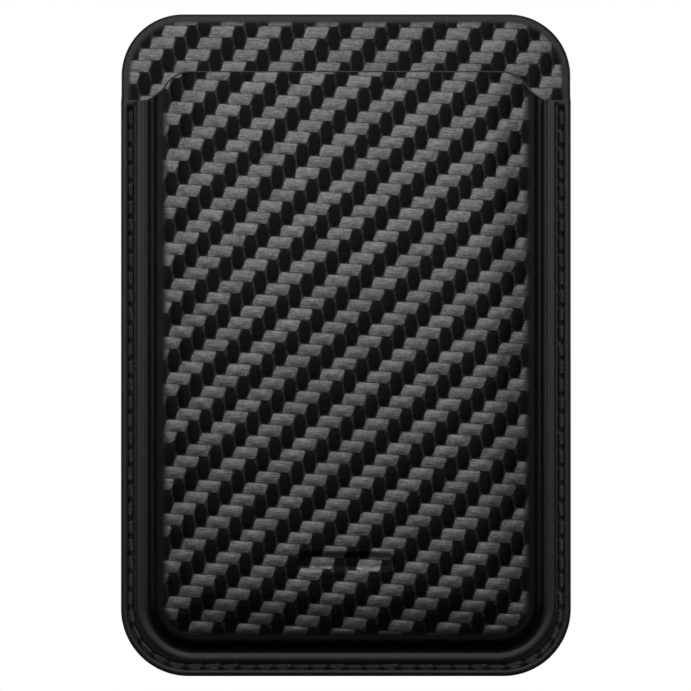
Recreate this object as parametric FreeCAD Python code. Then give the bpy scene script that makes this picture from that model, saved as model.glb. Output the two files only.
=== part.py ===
"""Magnetic card wallet: a sewn pocket on a flat back panel with a ring of magnets inside.

Frame, in millimetres: the phone touches the plane y = 0, the front faces -Y, +X is to the
right seen from the front and +Z is up, towards the pocket's mouth. The origin is the centre
of the magnet ring on the phone-side face. Heights below are measured from the bottom edge.
"""
import FreeCAD, Part
import math
import os

V = FreeCAD.Vector

# Outline of the panel, seen from the front
WIDTH = 65.2
HEIGHT = 96.0
TOP_CORNER = 9.0
BOTTOM_CORNER = 9.8
RING_HEIGHT = 64.0           # the magnet ring's centre above the bottom edge

# Thickness of each layer, from the phone side to the front
BACK_SKIN = 0.8
GLUE = 0.1
CORE = 1.4
SHIELD = 0.25
DIVIDER = 0.5
LINING = 0.25
FRONT_SKIN = 0.7
FRONT_BOARD = 0.4
POCKET_DEPTH = 2.4           # three cards of 0.76 mm and a little air

# The same layers as planes, y falling towards the front
BACK_SKIN_Y = -BACK_SKIN
BACK_GLUE_Y = BACK_SKIN_Y - GLUE
CORE_Y = BACK_GLUE_Y - CORE
SHIELD_Y = CORE_Y - SHIELD
DIVIDER_GLUE_Y = SHIELD_Y - GLUE
DIVIDER_Y = DIVIDER_GLUE_Y - DIVIDER
FLANGE_LINING_Y = DIVIDER_Y - LINING
FLANGE_Y = FLANGE_LINING_Y - FRONT_SKIN
POCKET_Y = DIVIDER_Y - POCKET_DEPTH
PAD_LINING_Y = POCKET_Y - LINING
BOARD_Y = PAD_LINING_Y - FRONT_BOARD
BOARD_GLUE_Y = BOARD_Y - GLUE
PAD_Y = BOARD_GLUE_Y - FRONT_SKIN
BEYOND = 2.0                 # how far cutting shapes run past the faces they cut
NEAR = 1e-4                  # closer than this counts as the same place

# The formed pad: its wall, where it meets the flange's face, and its two bends
WALL_INSET = 3.84
WALL_ANGLE = math.radians(75.0)
FOOT_BEND = 0.7
RIM_BEND = 1.8
PAD_CORNER_EXTRA = 1.0       # the pad's corners are a little rounder than the panel's
BOARD_INSET = 6.3

# The mouth: a straight lip over the pad, with an S-curve down to each flange
LIP_HEIGHT = 87.2
FLANGE_TOP = 83.25
LIP_HALF = 22.4
SHOULDER_HALF = 29.4

# Cut edges are closed with a bead of edge paint
EDGE_PAINT = 0.25
LIP_PAINT = 0.2

# Debossed marks: a plain bar on the pad, and outlines over the magnets on the back
DEBOSS = 0.15
MARK_LENGTH = 14.0
MARK_WIDTH = 2.4
MARK_HEIGHT = 16.8
OUTLINE_RADIUS = 28.3
OUTLINE_WIDTH = 0.6
OUTLINE_GAP = 1.3            # from the alignment magnets to the outline round them

# Sewing: one row of lockstitches round three sides, in a channel on both faces
SEAM_INSET = 1.45
SEAM_TOP = 82.05
STITCH_LENGTH = 2.6
CHANNEL_WIDTH = 1.1
FRONT_CHANNEL = 0.3
BACK_CHANNEL = 0.5
THREAD_RADIUS = 0.25
HOLE_RADIUS = 0.6
LEG_OFFSET = 0.29
THREAD_BEND = 0.3
LOCK_Y = -2.0                # depth at which the two threads lock
LOCK_GAP = 0.1

# Magnets and steel
RING_OUTER = 27.0
RING_INNER = 23.0
SEGMENTS = 36
SEGMENT_GAP = 0.15
MAGNET = 1.0
TAPE = 0.1
FIT = 0.2                    # clearance of the core board round what sits in it
BAR_WIDTH = 6.0
BAR_TOP = 35.0
BAR_MAGNET = 6.0
BAR_CORNER = 0.5
MAGNET_CORNER = 0.3
SHIELD_WIDTH = 56.5
SHIELD_LOW = 22.0
SHIELD_HIGH = 92.0
SHIELD_CORNER = 5.0
TAPE_Y = BACK_GLUE_Y - TAPE
MAGNET_Y = TAPE_Y - MAGNET
BAR_LENGTH = 2 * BAR_MAGNET + SEGMENT_GAP

# Thumb slot through the back panel, a pill lying across it
SLOT_LENGTH = 20.0
SLOT_WIDTH = 11.0
SLOT_HEIGHT = 14.8


def at(x, height, y=0.0):
    """The point at x and at this height above the bottom edge."""
    return V(x, y, height - RING_HEIGHT)


def arc(x, height, radius, start, end, y=0.0):
    """An arc about (x, height) between two angles in degrees."""
    points = []
    for degrees in (start, (start + end) / 2, end):
        angle = math.radians(degrees)
        points.append(at(x + radius * math.cos(angle), height + radius * math.sin(angle), y))
    return Part.Arc(*points).toShape()


def joined(edges):
    """A closed wire from edges in order, with straight runs added between them."""
    loop = []
    for edge, following in zip(edges, edges[1:] + edges[:1]):
        loop.append(edge)
        here = edge.Vertexes[-1].Point
        there = following.Vertexes[0].Point
        if here.distanceToPoint(there) > NEAR:
            loop.append(Part.LineSegment(here, there).toShape())
    return Part.Wire(loop)


def rounded(half_width, low, high, low_corner, high_corner, y=0.0):
    """A closed upright rectangle with one radius for its lower and one for its upper corners."""
    low_x = half_width - low_corner
    high_x = half_width - high_corner
    return joined([
        arc(-low_x, low + low_corner, low_corner, 180, 270, y),
        arc(low_x, low + low_corner, low_corner, 270, 360, y),
        arc(high_x, high - high_corner, high_corner, 0, 90, y),
        arc(-high_x, high - high_corner, high_corner, 90, 180, y),
    ])


def pill(length, width, height, y=0.0):
    """A pill lying across the panel, centred at this height."""
    reach = (length - width) / 2
    return joined([
        arc(reach, height, width / 2, -90, 90, y),
        arc(-reach, height, width / 2, 90, 270, y),
    ])


def outline(inset, y=0.0):
    """The panel's outline, moved in by inset."""
    return rounded(WIDTH / 2 - inset, inset, HEIGHT - inset,
                   BOTTOM_CORNER - inset, TOP_CORNER - inset, y)


def plate(wire, thickness):
    """A flat piece that grows towards the front from its outline."""
    return Part.Face(wire).extrude(V(0, -thickness, 0))


def between(make_outline, back_y, front_y):
    """A flat piece between two planes, from a function that draws its outline on a plane."""
    return plate(make_outline(back_y), back_y - front_y)


def layer(back_y, front_y, inset=EDGE_PAINT):
    """A full-size layer of the panel."""
    return between(lambda y: outline(inset, y), back_y, front_y)


def disc(radius, back_y, front_y, x=0.0, height=RING_HEIGHT):
    """A round plate, by default about the ring's centre."""
    return Part.makeCylinder(radius, back_y - front_y, at(x, height, back_y), V(0, -1, 0))


def ring(inner, outer, back_y, front_y):
    """A flat ring about the magnet ring's centre."""
    return disc(outer, back_y, front_y).cut(disc(inner, back_y + BEYOND, front_y - BEYOND))


def strip(low_inset, high_inset, back_y, front_y):
    """The band between two insets of the panel's outline."""
    inner = layer(back_y + BEYOND, front_y - BEYOND, high_inset)
    return layer(back_y, front_y, low_inset).cut(inner)


def below_mouth(paint=0.0):
    """Everything under the mouth's edge, or under its paint, as a cutting prism."""
    turn = 2 * math.atan2(LIP_HEIGHT - FLANGE_TOP, SHOULDER_HALF - LIP_HALF)
    bend = (SHOULDER_HALF - LIP_HALF) / (2 * math.sin(turn))
    swing = math.degrees(turn)
    hollow = bend - paint
    crown = bend + paint
    side = WIDTH / 2 + BEYOND
    top = FLANGE_TOP + bend
    crest = LIP_HEIGHT - bend
    y = BEYOND
    wire = joined([
        Part.LineSegment(at(-side, -BEYOND, y), at(side, -BEYOND, y)).toShape(),
        Part.LineSegment(at(side, -BEYOND, y), at(side, FLANGE_TOP + paint, y)).toShape(),
        arc(SHOULDER_HALF, top, hollow, 270, 270 - swing, y),
        arc(LIP_HALF, crest, crown, 90 - swing, 90, y),
        arc(-LIP_HALF, crest, crown, 90, 90 + swing, y),
        arc(-SHOULDER_HALF, top, hollow, 270 + swing, 270, y),
        Part.LineSegment(at(-side, FLANGE_TOP + paint, y), at(-side, -BEYOND, y)).toShape(),
    ])
    return plate(wire, y - PAD_Y + BEYOND)


def wall_inset(y, offset):
    """How far in from the outline the pad's wall stands at y, offset inside its outer face."""
    rise = FLANGE_Y - y
    return WALL_INSET + rise / math.tan(WALL_ANGLE) + offset / math.sin(WALL_ANGLE)


def pad_outline(inset, y, top):
    """The pad's outline: rounded at the bottom and running square past the mouth."""
    half = WIDTH / 2 - inset
    corner = BOTTOM_CORNER + PAD_CORNER_EXTRA - inset
    x = half - corner
    return joined([
        arc(-x, inset + corner, corner, 180, 270, y),
        arc(x, inset + corner, corner, 270, 360, y),
        Part.LineSegment(at(half, top, y), at(-half, top, y)).toShape(),
    ])


def edges_on(shape, y, top, half_width):
    """The edges that lie on a plane y and within a half width, but not along the top."""
    found = []
    for edge in shape.Edges:
        box = edge.BoundBox
        flat = abs(box.YMin - y) < NEAR and abs(box.YMax - y) < NEAR
        inside = box.XMax < half_width and box.XMin > -half_width
        along_top = box.ZMin > top - RING_HEIGHT - NEAR
        if flat and inside and not along_top:
            found.append(edge)
    return found


def behind_formed(flange_y, pad_y, offset):
    """Everything behind a formed surface: flat at the flange, raised over the pad."""
    top = HEIGHT + BEYOND
    root_y = flange_y + BEYOND
    slab = Part.makeBox(WIDTH + 2 * BEYOND, BEYOND - flange_y, top + BEYOND,
                        at(-WIDTH / 2 - BEYOND, -BEYOND, flange_y))
    root = pad_outline(wall_inset(root_y, offset), root_y, top)
    face = pad_outline(wall_inset(pad_y, offset), pad_y, top)
    block = Part.makeLoft([root, face], True, True)
    body = slab.fuse(block)
    body = body.makeFillet(RIM_BEND - offset, edges_on(body, pad_y, top, WIDTH / 2))
    return body.makeFillet(FOOT_BEND + offset, edges_on(body, flange_y, top, WIDTH / 2))


def seam_holes():
    """Where the needle went through: (x, height) down one side, round the bottom and up."""
    corner = BOTTOM_CORNER - SEAM_INSET
    side = SEAM_TOP - BOTTOM_CORNER
    turn = corner * math.pi / 2
    bottom_half = WIDTH / 2 - BOTTOM_CORNER
    half_length = side + turn + bottom_half
    half_count = round(half_length / STITCH_LENGTH)
    right = []
    for count in range(half_count + 1):
        along = half_length * count / half_count
        if along <= bottom_half:
            right.append((along, SEAM_INSET))
        elif along <= bottom_half + turn:
            angle = (along - bottom_half) / corner
            right.append((bottom_half + corner * math.sin(angle),
                          BOTTOM_CORNER - corner * math.cos(angle)))
        else:
            right.append((WIDTH / 2 - SEAM_INSET, BOTTOM_CORNER + along - bottom_half - turn))
    left = [(-x, height) for x, height in right[:0:-1]]
    return left + right


def pierced(shape):
    """A layer with the needle's holes through it."""
    front_y = PAD_Y - BEYOND
    needles = [disc(HOLE_RADIUS, BEYOND, front_y, x, height) for x, height in seam_holes()]
    return shape.cut(Part.makeCompound(needles))


def thumb_slot(grow=EDGE_PAINT):
    """The thumb slot as a cutting shape; grow makes room for its paint."""
    wire = pill(SLOT_LENGTH + 2 * grow, SLOT_WIDTH + 2 * grow, SLOT_HEIGHT, BEYOND)
    return plate(wire, 2 * BEYOND - DIVIDER_Y)


def panel_layer(back_y, front_y):
    """A full layer of the panel with its thumb slot and needle holes."""
    return pierced(layer(back_y, front_y).cut(thumb_slot()))


def magnet_bar(grow, back_y, front_y):
    """The upright bar below the ring, where the alignment magnets sit."""
    half = BAR_WIDTH / 2 + grow
    low = BAR_TOP - BAR_LENGTH - grow
    high = BAR_TOP + grow
    return between(lambda y: rounded(half, low, high, BAR_CORNER, BAR_CORNER, y), back_y, front_y)


def shield_outline(grow, y):
    """The steel shield's outline."""
    corner = SHIELD_CORNER + grow
    return rounded(SHIELD_WIDTH / 2 + grow, SHIELD_LOW - grow, SHIELD_HIGH + grow, corner, corner, y)


def thread(bar_y, lock_y):
    """One stitch from x = 0: a bar on the face, bent at both ends into legs that go inside."""
    inward = 1 if lock_y > bar_y else -1
    start = LEG_OFFSET
    end = STITCH_LENGTH - LEG_OFFSET
    bend = THREAD_BEND
    slant = bend * (1 - math.sqrt(0.5))
    turn_y = bar_y + inward * bend
    points = [
        V(start, lock_y, 0), V(start, turn_y, 0), V(start + slant, bar_y + inward * slant, 0),
        V(start + bend, bar_y, 0), V(end - bend, bar_y, 0),
        V(end - slant, bar_y + inward * slant, 0), V(end, turn_y, 0), V(end, lock_y, 0),
    ]
    path = Part.Wire([
        Part.LineSegment(points[0], points[1]).toShape(),
        Part.Arc(points[1], points[2], points[3]).toShape(),
        Part.LineSegment(points[3], points[4]).toShape(),
        Part.Arc(points[4], points[5], points[6]).toShape(),
        Part.LineSegment(points[6], points[7]).toShape(),
    ])
    section = Part.Wire(Part.makeCircle(THREAD_RADIUS, points[0], V(0, inward, 0)))
    return path.makePipeShell([section], True, False)


def sewn(stitch):
    """A stitch repeated from hole to hole round the seam."""
    holes = seam_holes()
    stitches = []
    for (x, height), (next_x, next_height) in zip(holes, holes[1:]):
        copy = stitch.copy()
        slack = (math.hypot(next_x - x, next_height - height) - STITCH_LENGTH) / 2
        copy.translate(V(slack, 0, 0))
        heading = math.degrees(math.atan2(next_height - height, next_x - x))
        copy.rotate(V(0, 0, 0), V(0, -1, 0), heading)
        copy.translate(at(x, height))
        stitches.append(copy)
    return Part.makeCompound(stitches)


def front_skin():
    """Formed leather: stitched flange on three sides, raised pad, open at the mouth."""
    outer = behind_formed(FLANGE_Y, PAD_Y, 0.0)
    inner = behind_formed(FLANGE_LINING_Y, BOARD_GLUE_Y, FRONT_SKIN)
    skin = outer.cut(inner).common(layer(BEYOND, PAD_Y - BEYOND)).common(below_mouth())
    channel = strip(SEAM_INSET - CHANNEL_WIDTH / 2, SEAM_INSET + CHANNEL_WIDTH / 2,
                    FLANGE_Y + FRONT_CHANNEL, FLANGE_Y - BEYOND)
    mark = plate(pill(MARK_LENGTH, MARK_WIDTH, MARK_HEIGHT, PAD_Y + DEBOSS), BEYOND)
    return pierced(skin.cut(channel).cut(mark))


def front_lining():
    """Thin lining on the pocket's front wall, from flange to flange."""
    outer = behind_formed(FLANGE_LINING_Y, PAD_LINING_Y, FRONT_SKIN)
    inner = behind_formed(DIVIDER_Y, POCKET_Y, FRONT_SKIN + LINING)
    lining = outer.cut(inner).common(layer(BEYOND, PAD_Y)).common(below_mouth())
    return pierced(lining)


def pad_sheet(back_y, front_y):
    """A flat sheet inside the pad."""
    top = HEIGHT + BEYOND
    sheet = between(lambda y: pad_outline(BOARD_INSET, y, top), back_y, front_y)
    return sheet.common(below_mouth())


def mouth_edge_paint():
    """Paint along the cut edge of the mouth, over the skin, board and lining."""
    outer = behind_formed(FLANGE_Y, PAD_Y, 0.0)
    inner = behind_formed(DIVIDER_Y, POCKET_Y, FRONT_SKIN + LINING)
    wall = outer.cut(inner).common(layer(BEYOND, PAD_Y - BEYOND))
    return wall.common(below_mouth(LIP_PAINT)).cut(below_mouth())


def divider_skin():
    """The panel's front skin: behind the cards, and in view above the mouth."""
    return panel_layer(DIVIDER_GLUE_Y, DIVIDER_Y)


def divider_glue():
    """Film of glue under the divider skin."""
    return panel_layer(SHIELD_Y, DIVIDER_GLUE_Y)


def shield_plate():
    """Steel sheet between the magnets and the cards."""
    return between(lambda y: shield_outline(0.0, y), CORE_Y, SHIELD_Y)


def shield_surround():
    """Board that frames the shield plate and keeps the stack level."""
    window = between(lambda y: shield_outline(FIT / 2, y), CORE_Y + BEYOND, SHIELD_Y - BEYOND)
    return panel_layer(CORE_Y, SHIELD_Y).cut(window)


def core_board():
    """Board core with a round hole for the magnet ring and a slot for the alignment magnets."""
    board = panel_layer(BACK_GLUE_Y, CORE_Y)
    hole = disc(RING_OUTER + FIT, BACK_GLUE_Y + BEYOND, CORE_Y - BEYOND)
    return board.cut(hole).cut(magnet_bar(FIT, BACK_GLUE_Y + BEYOND, CORE_Y - BEYOND))


def core_disc():
    """The plug of core board inside the magnet ring."""
    return disc(RING_INNER - FIT, BACK_GLUE_Y, CORE_Y)


def magnet_tape():
    """Adhesive ring that holds the magnets to the back skin."""
    return ring(RING_INNER, RING_OUTER, BACK_GLUE_Y, TAPE_Y)


def ring_magnets():
    """Magnet segments in a ring, with a fine gap between neighbours."""
    whole = ring(RING_INNER, RING_OUTER, TAPE_Y, MAGNET_Y)
    reach = RING_OUTER + BEYOND
    half_turn = math.pi / SEGMENTS
    gap = SEGMENT_GAP / 2
    near = gap / math.sin(half_turn)
    spread = reach * math.tan(half_turn)
    wedge = Part.makePolygon([
        V(near, TAPE_Y + BEYOND, 0), V(reach, TAPE_Y + BEYOND, spread - gap),
        V(reach, TAPE_Y + BEYOND, gap - spread), V(near, TAPE_Y + BEYOND, 0),
    ])
    segment = whole.common(plate(wedge, MAGNET + 2 * BEYOND))
    segments = []
    for count in range(SEGMENTS):
        copy = segment.copy()
        copy.rotate(V(0, 0, 0), V(0, 1, 0), 360.0 * count / SEGMENTS)
        segments.append(copy)
    return Part.makeCompound(segments)


def ring_yoke():
    """Steel ring behind the magnets."""
    return ring(RING_INNER, RING_OUTER, MAGNET_Y, CORE_Y)


def alignment_magnets():
    """Two square magnets, one above the other, below the ring."""
    magnets = []
    for count in range(2):
        high = BAR_TOP - count * (BAR_MAGNET + SEGMENT_GAP)
        square = rounded(BAR_WIDTH / 2, high - BAR_MAGNET, high,
                         MAGNET_CORNER, MAGNET_CORNER, TAPE_Y)
        magnets.append(plate(square, MAGNET))
    return Part.makeCompound(magnets)


def back_skin():
    """Smooth skin on the phone side, with a channel for the stitches and magnet outlines."""
    skin = panel_layer(0.0, BACK_SKIN_Y)
    channel = strip(SEAM_INSET - CHANNEL_WIDTH / 2, SEAM_INSET + CHANNEL_WIDTH / 2,
                    BEYOND, -BACK_CHANNEL)
    circle = ring(OUTLINE_RADIUS - OUTLINE_WIDTH, OUTLINE_RADIUS, BEYOND, -DEBOSS)
    bar = magnet_bar(OUTLINE_GAP, BEYOND, -DEBOSS)
    bar = bar.cut(magnet_bar(OUTLINE_GAP - OUTLINE_WIDTH, 2 * BEYOND, -BEYOND))
    bar = bar.cut(disc(OUTLINE_RADIUS, 2 * BEYOND, -BEYOND))
    seam_only = channel.common(below_mouth())
    return skin.cut(seam_only).cut(circle).cut(bar)


def perimeter_edge_paint():
    """Bead of paint round the outline, thicker where the front is sewn on."""
    panel = strip(0.0, EDGE_PAINT, 0.0, DIVIDER_Y)
    front = strip(0.0, EDGE_PAINT, DIVIDER_Y, FLANGE_Y).common(below_mouth(LIP_PAINT))
    return panel.fuse(front).removeSplitter()


def slot_edge_paint():
    """Bead of paint inside the thumb slot."""
    length = SLOT_LENGTH + 2 * EDGE_PAINT
    width = SLOT_WIDTH + 2 * EDGE_PAINT
    bead = between(lambda y: pill(length, width, SLOT_HEIGHT, y), 0.0, DIVIDER_Y)
    return bead.cut(thumb_slot(0.0))


def needle_thread():
    """Upper thread: a row of stitches in the front channel."""
    bar_y = FLANGE_Y + FRONT_CHANNEL - THREAD_RADIUS
    return sewn(thread(bar_y, LOCK_Y - LOCK_GAP))


def bobbin_thread():
    """Lower thread: a row of stitches in the back channel."""
    return sewn(thread(-BACK_CHANNEL + THREAD_RADIUS, LOCK_Y + LOCK_GAP))


PIECES = {
    "front_skin": front_skin,
    "front_board": lambda: pad_sheet(PAD_LINING_Y, BOARD_Y),
    "board_glue": lambda: pad_sheet(BOARD_Y, BOARD_GLUE_Y),
    "front_lining": front_lining,
    "mouth_edge_paint": mouth_edge_paint,
    "divider_skin": divider_skin,
    "divider_glue": divider_glue,
    "shield_plate": shield_plate,
    "shield_surround": shield_surround,
    "core_board": core_board,
    "core_disc": core_disc,
    "magnet_tape": magnet_tape,
    "ring_magnets": ring_magnets,
    "ring_yoke": ring_yoke,
    "bar_tape": lambda: magnet_bar(0.0, BACK_GLUE_Y, TAPE_Y),
    "alignment_magnets": alignment_magnets,
    "bar_yoke": lambda: magnet_bar(0.0, MAGNET_Y, CORE_Y),
    "back_glue": lambda: panel_layer(BACK_SKIN_Y, BACK_GLUE_Y),
    "back_skin": back_skin,
    "perimeter_edge_paint": perimeter_edge_paint,
    "slot_edge_paint": slot_edge_paint,
    "needle_thread": needle_thread,
    "bobbin_thread": bobbin_thread,
}

os.makedirs("parts", exist_ok=True)
for name, make in PIECES.items():
    piece = make()
    solids = piece.Solids
    sound = all(solid.isValid() and solid.isClosed() for solid in solids)
    print(name, "solids", len(solids), "volume", round(piece.Volume, 2), "sound", sound)
    shape = solids[0] if len(solids) == 1 else Part.makeCompound(solids)
    shape.exportStep("parts/" + name + ".step")
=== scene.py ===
# %% [markdown]
# # A magnetic card wallet
# The wallet is a flat, sewn panel: a smooth back skin, a stack of board, magnets and steel,
# and a formed front skin that makes a pocket for cards. All pieces inside are already solid
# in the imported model. This lesson makes the skins, the edge paint and the threads, and then
# gives every piece its finish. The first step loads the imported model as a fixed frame.

# %% Load the frame
import math
import random

import bmesh
import bpy
from mathutils import Matrix, Vector


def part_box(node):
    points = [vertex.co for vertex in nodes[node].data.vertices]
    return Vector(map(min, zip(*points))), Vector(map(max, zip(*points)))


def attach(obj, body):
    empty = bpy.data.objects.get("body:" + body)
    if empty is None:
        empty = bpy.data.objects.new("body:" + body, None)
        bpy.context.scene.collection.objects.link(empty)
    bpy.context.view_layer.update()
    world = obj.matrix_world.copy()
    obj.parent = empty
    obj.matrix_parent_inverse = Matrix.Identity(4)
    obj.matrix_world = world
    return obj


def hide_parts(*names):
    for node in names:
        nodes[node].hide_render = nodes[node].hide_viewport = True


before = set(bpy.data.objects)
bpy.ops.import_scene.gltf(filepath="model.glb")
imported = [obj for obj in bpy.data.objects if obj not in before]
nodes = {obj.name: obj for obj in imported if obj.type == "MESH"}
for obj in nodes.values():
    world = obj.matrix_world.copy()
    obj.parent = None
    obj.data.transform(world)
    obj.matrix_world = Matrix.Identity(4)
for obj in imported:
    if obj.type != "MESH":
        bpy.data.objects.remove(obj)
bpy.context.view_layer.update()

print("frame nodes:", len(nodes))

# %% [markdown]
# ## Sizes
# Blender works in metres and the wallet is 7 mm thick, so every size is written in
# millimetres times MM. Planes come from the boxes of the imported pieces. Radii and insets,
# which a box doesn't tell, repeat the values that the pattern maker drew.

# %% Sizes of the panel
MM = 0.001
panel_low, panel_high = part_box("perimeter_edge_paint")
skin_low, skin_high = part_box("front_skin")
divider_low, divider_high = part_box("divider_skin")

HALF_WIDTH = panel_high.x
BOTTOM = panel_low.z
TOP = panel_high.z
LIP = skin_high.z
PAD_Y = skin_low.y
FLANGE_Y = panel_low.y
DIVIDER_Y = divider_low.y
DIVIDER_BACK_Y = divider_high.y
SKIN = 0.7 * MM
EDGE_PAINT = HALF_WIDTH - skin_high.x
BOTTOM_CORNER = 9.8 * MM
TOP_CORNER = 9.0 * MM
print("panel", round((TOP - BOTTOM) / MM, 1), "mm high,", round(-PAD_Y / MM, 2), "mm thick")

# %% Sizes of the formed pad and of its mouth
PAD_CORNER = BOTTOM_CORNER + 1.0 * MM
WALL_INSET = 3.84 * MM
WALL_ANGLE = math.radians(75.0)
FOOT_BEND = 0.7 * MM
RIM_BEND = 1.8 * MM
FLANGE_TOP = BOTTOM + 83.25 * MM
LIP_HALF = 22.4 * MM
SHOULDER_HALF = 29.4 * MM
SEAM_INSET = 1.45 * MM
SEAM_TOP = BOTTOM + 82.05 * MM
STITCH_LENGTH = 2.6 * MM

# %% [markdown]
# ## Camera
# The wallet stands upright and is seen from straight in front with a long lens, so that its
# sides stay parallel. The camera comes first, because every later choice is judged with it.

# %% Camera
LENS = 150.0                     # in millimetres, as it is written on a lens
CAMERA_PLACE = (-0.00006, -0.4210, -0.01609)

camera_data = bpy.data.cameras.new("front_camera")
camera_data.lens = LENS
camera = bpy.data.objects.new("front_camera", camera_data)
camera.location = CAMERA_PLACE
camera.rotation_euler = (math.pi / 2, 0.0, 0.0)
bpy.context.scene.collection.objects.link(camera)
bpy.context.scene.camera = camera
bpy.context.scene.view_settings.view_transform = "Standard"
print("lens", camera_data.lens, "mm")

# %% [markdown]
# ## Helpers for shapes
# A skin is made as a maker makes it: cut flat, then pressed over a form. So each skin starts
# as a flat sheet of small faces, and a height function says where the press moves each point.
# The helpers below give soft steps, distances from the outline, and the pressed depth.

# %% Soft steps and distances
BEAD_ROUND = 0.32 * MM           # the paint on the panel's edges is sanded to this radius
TUCK = 0.02 * MM                 # a skin's edge follows it, this far below the paint


def soft_step(value, start, end):
    """0 before start, 1 after end, and a smooth rise in between."""
    share = min(1.0, max(0.0, (value - start) / (end - start)))
    return share * share * (3.0 - 2.0 * share)


def inset_of(x, z, corner):
    """How far a point lies in from the sides and the bottom, for this corner radius."""
    side = HALF_WIDTH - abs(x)
    rise = z - BOTTOM
    if side < corner and rise < corner:
        return corner - math.hypot(corner - side, corner - rise)
    return min(side, rise)


def top_inset_of(x, z):
    """How far a point lies in from the sides and the top."""
    side = HALF_WIDTH - abs(x)
    drop = TOP - z
    if side < TOP_CORNER and drop < TOP_CORNER:
        return TOP_CORNER - math.hypot(TOP_CORNER - side, TOP_CORNER - drop)
    return min(side, drop)


def edge_drop(inset):
    """How far a skin dips at its edge, to tuck under the rounded bead of paint."""
    if inset >= BEAD_ROUND:
        return 0.0
    short = BEAD_ROUND - inset
    return BEAD_ROUND - math.sqrt(BEAD_ROUND ** 2 - short ** 2) + TUCK


# %% The pressed section: flange, foot bend, wall, rim bend, pad
PAD_RISE = FLANGE_Y - PAD_Y
FOOT_START = WALL_INSET - FOOT_BEND * math.tan(WALL_ANGLE / 2)
FOOT_END = FOOT_START + FOOT_BEND * math.sin(WALL_ANGLE)
RIM_END = WALL_INSET + PAD_RISE / math.tan(WALL_ANGLE) + RIM_BEND * math.tan(WALL_ANGLE / 2)
RIM_START = RIM_END - RIM_BEND * math.sin(WALL_ANGLE)


def pressed_rise(inset):
    """How far the pressed skin stands in front of its flange, at this distance from the edge."""
    if inset < FOOT_START:
        return 0.0
    if inset < FOOT_END:
        return FOOT_BEND - math.sqrt(FOOT_BEND ** 2 - (inset - FOOT_START) ** 2)
    if inset < RIM_START:
        return (inset - WALL_INSET) * math.tan(WALL_ANGLE)
    if inset < RIM_END:
        return PAD_RISE - RIM_BEND + math.sqrt(RIM_BEND ** 2 - (RIM_END - inset) ** 2)
    return PAD_RISE


print("wall between insets", round(FOOT_START / MM, 2), "and", round(RIM_END / MM, 2), "mm")

# %% The mouth's edge: a straight lip with an S-curve down to each flange
SHOULDER_TURN = 2 * math.atan2(LIP - FLANGE_TOP, SHOULDER_HALF - LIP_HALF)
SHOULDER_BEND = (SHOULDER_HALF - LIP_HALF) / (2 * math.sin(SHOULDER_TURN))


def mouth_height(x):
    """The height of the mouth's cut edge at x."""
    across = abs(x)
    if across <= LIP_HALF:
        return LIP
    if across >= SHOULDER_HALF:
        return FLANGE_TOP
    if across < (LIP_HALF + SHOULDER_HALF) / 2:
        return LIP - SHOULDER_BEND + math.sqrt(SHOULDER_BEND ** 2 - (across - LIP_HALF) ** 2)
    return FLANGE_TOP + SHOULDER_BEND - math.sqrt(SHOULDER_BEND ** 2 - (SHOULDER_HALF - across) ** 2)


print("shoulder bend radius", round(SHOULDER_BEND / MM, 2), "mm")

# %% [markdown]
# ## Helpers for sweeping
# Skins and edge beads all follow the same rounded outline. A few vertices on the right side
# make a section, and bmesh.ops.spin carries it round: with dvec and no angle it runs straight,
# and with a quarter turn it goes round a corner. The same helpers make a wide sheet or a thin
# bead, and the rows of faces always run parallel to the edge. Only the right half is swept,
# and a mirror adds the left one.

# %% Section and sweep
QUARTER = math.pi / 2
MERGE = 0.002 * MM               # points closer than this become one
DOWN = (0, 0, -1)
LEFT = (-1, 0, 0)
UP = (0, 0, 1)
RIGHT = (1, 0, 0)
FORWARD = (0, -1, 0)
CLOCKWISE = 1                    # as seen from the front
ANTICLOCKWISE = -1


def run(bm, geom, direction, length, steps):
    """Carries geometry straight on, in equal steps."""
    moved = bmesh.ops.spin(bm, geom=geom, cent=(0, 0, 0), axis=(0, 1, 0), angle=0.0,
                           dvec=Vector(direction) * (length / steps), steps=steps)
    return moved["geom_last"]


def section(bm, start_inset, stretches, start_z):
    """A row of vertices that runs in from the right edge; stretches are (end inset, steps)."""
    geom = [bm.verts.new((HALF_WIDTH - start_inset, 0, start_z))]
    inset = start_inset
    for end_inset, steps in stretches:
        geom = run(bm, geom, LEFT, end_inset - inset, steps)
        inset = end_inset
    return bm.verts[:] + bm.edges[:]


def turn(bm, geom, centre, steps, quarters):
    """Carries geometry round the centre (x, z) of a corner by a number of quarter turns."""
    moved = bmesh.ops.spin(bm, geom=geom, cent=(centre[0], 0, centre[1]), axis=(0, 1, 0),
                           angle=quarters * QUARTER, dvec=(0, 0, 0), steps=steps)
    return moved["geom_last"]


def rows(length, step):
    """How many rows of about this step fill a length."""
    return max(1, round(length / step))


def sweep_under(bm, geom, top, step, turn_steps):
    """Down the right side, round the corner and along the bottom as far as the middle."""
    side = top - BOTTOM - BOTTOM_CORNER
    reach = HALF_WIDTH - BOTTOM_CORNER
    geom = run(bm, geom, DOWN, side, rows(side, step))
    geom = turn(bm, geom, (reach, BOTTOM + BOTTOM_CORNER), turn_steps, CLOCKWISE)
    return run(bm, geom, LEFT, reach, rows(reach, step))


def add_half_grid(bm, half_width, low, high, step):
    """A flat upright grid of faces that fills the right half of a sheet's middle."""
    place = Matrix.Translation((half_width / 2, 0, (low + high) / 2))
    place = place @ Matrix.Rotation(QUARTER, 4, "X")
    place = place @ Matrix.Diagonal((half_width / 2, (high - low) / 2, 1.0, 1.0))
    bmesh.ops.create_grid(bm, x_segments=rows(half_width, step), y_segments=rows(high - low, step),
                          size=1.0, matrix=place)


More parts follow.
